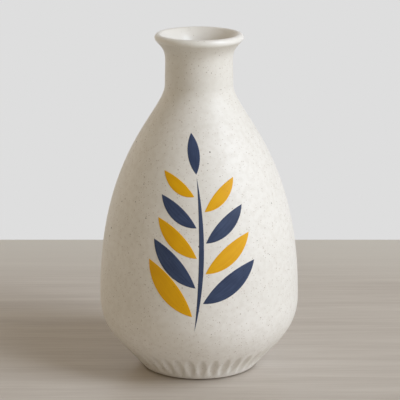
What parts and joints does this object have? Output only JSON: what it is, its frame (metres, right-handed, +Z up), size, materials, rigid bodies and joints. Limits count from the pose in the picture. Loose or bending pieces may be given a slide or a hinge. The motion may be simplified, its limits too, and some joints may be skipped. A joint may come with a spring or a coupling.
{
  "type": "vase",
  "caption": "Stoneware bottle vase with a low pear belly, short flared neck and fluted foot, speckled off-white glaze and a painted leaf sprig, for holding flower stems.",
  "frame": {"origin": "centre of the foot ring's circle, on the table plane", "axes": "+Z up along the vase's axis, -Y out of the middle of the painted front, +X to the right of someone who looks at it"},
  "size_m": [0.13, 0.1302, 0.22],
  "materials": {
    "bare_clay": "unglazed, fine grained",
    "speckled_glaze": "satin matt with fine brown specks",
    "liner_glaze": "gloss",
    "navy_paint": "satin, brushed",
    "mustard_paint": "satin, brushed"
  },
  "bodies": {
    "root": {"stoneware_body": "bare_clay", "outer_glaze": "speckled_glaze", "inner_glaze": "liner_glaze", "stem": "navy_paint", "leaf_2": "navy_paint", "leaf_3": "navy_paint", "leaf_6": "navy_paint", "leaf_7": "navy_paint", "tip_leaf": "navy_paint", "leaf_1": "mustard_paint", "leaf_4": "mustard_paint", "leaf_5": "mustard_paint", "leaf_8": "mustard_paint", "leaf_9": "mustard_paint"}
  },
  "joints": []
}
